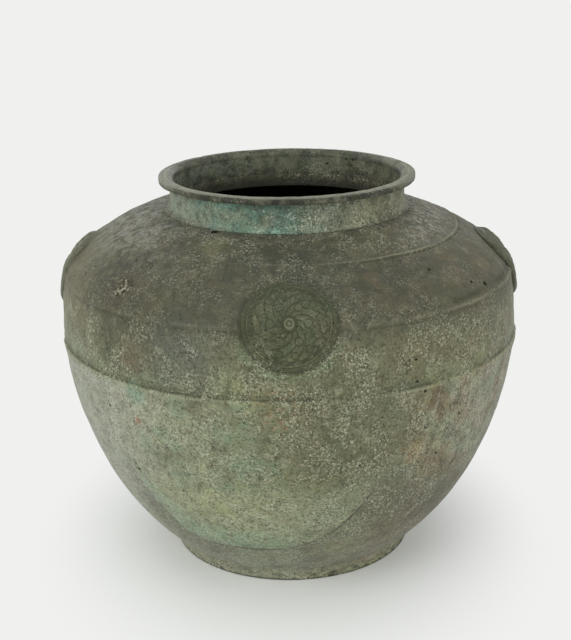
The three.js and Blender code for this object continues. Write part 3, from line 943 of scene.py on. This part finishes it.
def neck_stains(place, x, y, z):
    """Turquoise in front under the lip, yellow-grey to the right, dark on the lip's edge, partly painted
    shade, a painted highlight along the front of the crest, and painted shade inside.
    """
    tree = place.id_data
    below_lip = fade(z, lip_top - 3, lip_top - 7)
    front = fade(y, 0, -40)
    across = add(tree, "VectorMath", {0: place, 1: (1, 1, 0)}, operation="MULTIPLY")
    radius = add(tree, "VectorMath", {0: across}, operation="LENGTH").outputs["Value"]
    outside = fade(radius, neck_inner_radius + 1, neck_inner_radius + 2)
    inside = fade(radius, neck_inner_radius + 1.5, neck_inner_radius + 0.5)
    side = add(tree, "Math", {0: x}, operation="ABSOLUTE")
    on_lip = fade(z, lip_top - 4, lip_top - 2)
    edge = fade(z, lip_top - 7, lip_top - 5)
    return (
        ("#7c7a5c", 0.8, fade(x, 10, 60), below_lip),
        ("#9ba896", 0.85, fade(x, -30, -80), below_lip),
        ("#4f7c6c", 0.75, stripe(x, -22, 72), below_lip, front, outside, blotches(place, 20, 0.32, 0.52)),
        ("#86b3a2", 0.6, stripe(x, -18, 60), stripe(z, 282.5, 3.5), front, outside,
         blotches(place, 14, 0.4, 0.6, 3)),
        ("#72a695", 0.7, stripe(x, -45, 45), fade(z, 292, 299), below_lip, front, outside,
         blotches(place, 11, 0.4, 0.55, 2)),
        (SHOULDER_BROWN, 0.7, fade(z, 286, 281), outside, fade(side, 45, 70)),
        ("#a3ac98", 0.3, below_lip, outside, blotches(place, 5, 0.5, 0.6, 33, detail=5), fade(x, 0, 30)),
        ("#353d31", 0.45, below_lip, outside, blotches(place, 6, 0.5, 0.62, 35, detail=5)),
        ("#4a4c40", 0.95, fade(z, lip_top - 6, lip_top - 4.6)),
        ("#383a2f", 0.6, fade(z, lip_top - 4, lip_top - 1), fade(y, 0, 50)),
        ("#2f3228", 0.75, edge, fade(radius, crest_radius, crest_radius - 1.5)),
        ("#8f8f87", 0.9, on_lip, fade(x, -50, -85), fade(y, 45, 5)),
        ("#75756a", 0.9, on_lip, fade(x, 60, 88)),
        # The lip's front edge is dark: partly its own tone, partly painted shade.
        ("#26271f", 0.95, fade(z, lip_top - 0.5, lip_top - 1.1), edge, outside, fade(side, 94, 80), front),
        # A pale line along the front of the crest: wear, and a painted highlight.
        ("#8c8d7e", 0.7, fade(z, lip_top - 1.0, lip_top - 0.5), fade(side, 92, 80), front),
        ("#616b51", 0.6, inside, blotches(place, 10, 0.45, 0.62, 17, detail=5)),
        ("#1f2219", 0.7, inside, blotches(place, 6, 0.5, 0.64, 19, detail=5)),
        # Painted shade inside the neck: darker all round, more on the left, and near black lower down.
        ("#33372a", 0.3, inside),
        ("#2f3328", 0.45, fade(x, -30, -70), inside),
        ("#191b14", 0.9, fade(z, 298, 284), inside),
    )


def foot_stains(place, x, y, z):
    """Blotched, browner on the right, dark along the ground as painted shade, and yellower where its edge has
    broken.
    """
    return (
        ("#948a69", 0.5, fade(x, 0, 50)),
        ("#44472f", 0.5, blotches(place, 7, 0.5, 0.62, 41, detail=5)),
        ("#b7bb9f", 0.4, blotches(place, 9, 0.54, 0.66, 43, detail=5)),
        (YELLOW_GREEN, 0.6, fade(z, 7, 4), fade(x, 10, 30)),
        # Painted shade along the floor.
        ("#2e3022", 0.7, fade(z, 2.2, 1.0)),
    )


def roundel_stains(place, x, y, z):
    """Dark olive, blue-grey at the top and greener lower down, as on the shoulder round them."""
    return (
        ("#6f7854", 0.5, fade(z, 232, 208), blotches(place, 16, 0.3, 0.6)),
        ("#46493c", 0.5, fade(z, 238, 256)),
        ("#3c4c34", 0.6, blotches(place, 12, 0.48, 0.6, 9)),
        ("#5f4d38", 0.5, (8, 232, 15, 0.9)),
        ("#83846f", 0.8, fade(x, -120, -150)),
        ("#6b6a57", 0.7, fade(x, 120, 150)),
    )


def solder_material():
    """Tin-lead solder, dull grey from the iron that smoothed it."""
    material, tree, place = new_material("tin_lead_solder")
    smear = blotches(place, 7, 0.35, 0.65, detail=5)
    colour = over(linear(SOLDER_GREY), smear, "#6e706e")
    relief = add(tree, "Bump", {"Height": smear, "Strength": 0.4, "Distance": 0.2 * MM})
    surface = add(tree, "BsdfPrincipled", {"Base Color": colour, "Roughness": 0.5, "Metallic": 0.8,
                                           "Normal": relief})
    add(tree, "OutputMaterial", {"Surface": surface})
    return material


# Studio

FLOOR_WHITE = "#eeefee"
BACKDROP_WHITE = "#f0f1ef"
SHADOW_TINT = "#5a605c"
FLOOR_SIDE = 40


def floor_material():
    """Matt pale board that lights the jar from below. The camera sees it brighten into the backdrop away from
    the jar, and keeps the jar's shadow."""
    material, tree, place = new_material("pale_floor_board")
    squashed = add(tree, "VectorMath", {0: place, 1: (1, 0.78, 1)}, operation="MULTIPLY")
    away = add(tree, "VectorMath", {0: squashed}, operation="LENGTH").outputs["Value"]
    board = add(tree, "BsdfDiffuse", {"Color": linear(FLOOR_WHITE)})
    glow = add(tree, "Emission", {"Color": linear(SHADOW_TINT), "Strength": 0.46})
    lifted = add(tree, "AddShader", {0: board, 1: glow})
    flat = add(tree, "Emission", {"Color": linear(BACKDROP_WHITE), "Strength": 1.0})
    seen = add(tree, "MixShader", {0: fade(away, 85, 225), 1: lifted, 2: flat})
    rays = add(tree, "LightPath")
    surface = add(tree, "MixShader", {0: rays.outputs["Is Camera Ray"], 1: board, 2: seen})
    add(tree, "OutputMaterial", {"Surface": surface})
    return material


def make_floor():
    """A wide pale floor under the foot."""
    bpy.ops.mesh.primitive_plane_add(size=FLOOR_SIDE)
    floor = bpy.context.object
    floor.name = "pale_floor"
    floor.data.materials.append(floor_material())


def make_world():
    """Even studio light, which the camera, metal and glass see as the pale backdrop."""
    world = bpy.data.worlds.new("studio")
    bpy.context.scene.world = world
    world.use_nodes = True
    tree = world.node_tree
    tree.nodes.clear()
    rays = add(tree, "LightPath").outputs
    seen = rays["Is Camera Ray"]
    for kind in ("Is Glossy Ray", "Is Transmission Ray"):
        seen = add(tree, "Math", {0: seen, 1: rays[kind]}, operation="MAXIMUM")
    light = add(tree, "Background", {"Color": (1, 1, 1, 1), "Strength": 0.55})
    backdrop = add(tree, "Background", {"Color": linear(BACKDROP_WHITE), "Strength": 1.0})
    mixed = add(tree, "MixShader", {0: seen, 1: light, 2: backdrop})
    add(tree, "OutputWorld", {"Surface": mixed})


def make_lamp(name, place, size, power):
    """A soft square lamp aimed at the jar's middle."""
    lamp = bpy.data.lights.new(name, "AREA")
    lamp.shape = "SQUARE"
    lamp.size = size
    lamp.energy = power
    holder = bpy.data.objects.new(name, lamp)
    bpy.context.scene.collection.objects.link(holder)
    holder.location = place
    aim = JAR_MIDDLE * MM - Vector(place)
    holder.rotation_euler = aim.to_track_quat("-Z", "Y").to_euler()


camera_distance, camera_height = 0.9871, 0.5056
camera_pitch, camera_yaw, camera_roll = 18.05, 0.17, 1.0
camera_lens = 71.6


def make_camera():
    """The photograph's viewpoint, turned a degree as the picture is."""
    camera = bpy.data.cameras.new("photo_camera")
    camera.lens = camera_lens
    camera.sensor_width = 36
    camera.clip_start = 0.05
    holder = bpy.data.objects.new("photo_camera", camera)
    bpy.context.scene.collection.objects.link(holder)
    aim = (Matrix.Rotation(math.radians(camera_yaw), 4, "Z")
           @ Matrix.Rotation(math.radians(90 - camera_pitch), 4, "X")
           @ Matrix.Rotation(math.radians(-camera_roll), 4, "Z"))
    holder.matrix_world = Matrix.Translation((0, -camera_distance, camera_height)) @ aim
    bpy.context.scene.camera = holder


# Patches thick with pale grains: azimuth in degrees, height and radius on the wall, and places on the neck.
body_clusters = [(wall_place(azimuth, height), radius) for azimuth, height, radius in (
    (-23, 194, 16), (-18, 168, 18), (-33, 141, 14), (17, 190, 15), (25, 91, 22), (46, 161, 18), (69, 276, 24),
    (-78, 277, 22), (5, 181, 24))]
neck_clusters = ((Vector((17.9, -91.3, 293)), 24), (Vector((-40, -83.8, 290)), 12))

body_finish = corroded_bronze("body_crust", (BOWL_OLIVE, BOWL_GREEN, CRUST_GREY), body_stains, (SOOT_AND_SHADE, 0.9),
                              clusters=body_clusters)
neck_finish = corroded_bronze("neck_crust", ("#6b705e", "#6c7969", PALE_WEAR_AND_HIGHLIGHT), neck_stains, ("#4b5041", 0.2),
                              grain_share=0.8, clusters=neck_clusters, grittiness=0.85)
foot_finish = corroded_bronze("foot_crust", ("#a5a88e", "#9ca189", BROWN_GREY), foot_stains, (CREVICE, 0.6))
roundel_finish = corroded_bronze("roundel_crust", ("#53553c", "#545e42", "#464835"), roundel_stains,
                                 (CREVICE, 0.7), grain_share=0.1, rub_and_highlight=0.5, grittiness=0.6)
solder = solder_material()

make_camera()
make_body(body_finish)
make_neck(neck_finish)
make_foot(foot_finish)
for order, (side, swells) in enumerate(roundel_swells.items()):
    make_roundel(f"medallion_{side}", f"roundel_{side}", QUARTER * order, swells, 40 + order, roundel_finish)
for side in roundel_swells:
    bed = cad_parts[f"solder_bed_{side}"]
    bed.data.materials.clear()
    bed.data.materials.append(solder)

make_floor()
make_world()
make_lamp("key", (-1.4, -1.4, 1.4), 1.5, 21)
make_lamp("fill", (1.6, -1.4, 1.0), 1.6, 14)
bpy.context.scene.view_settings.view_transform = "Standard"
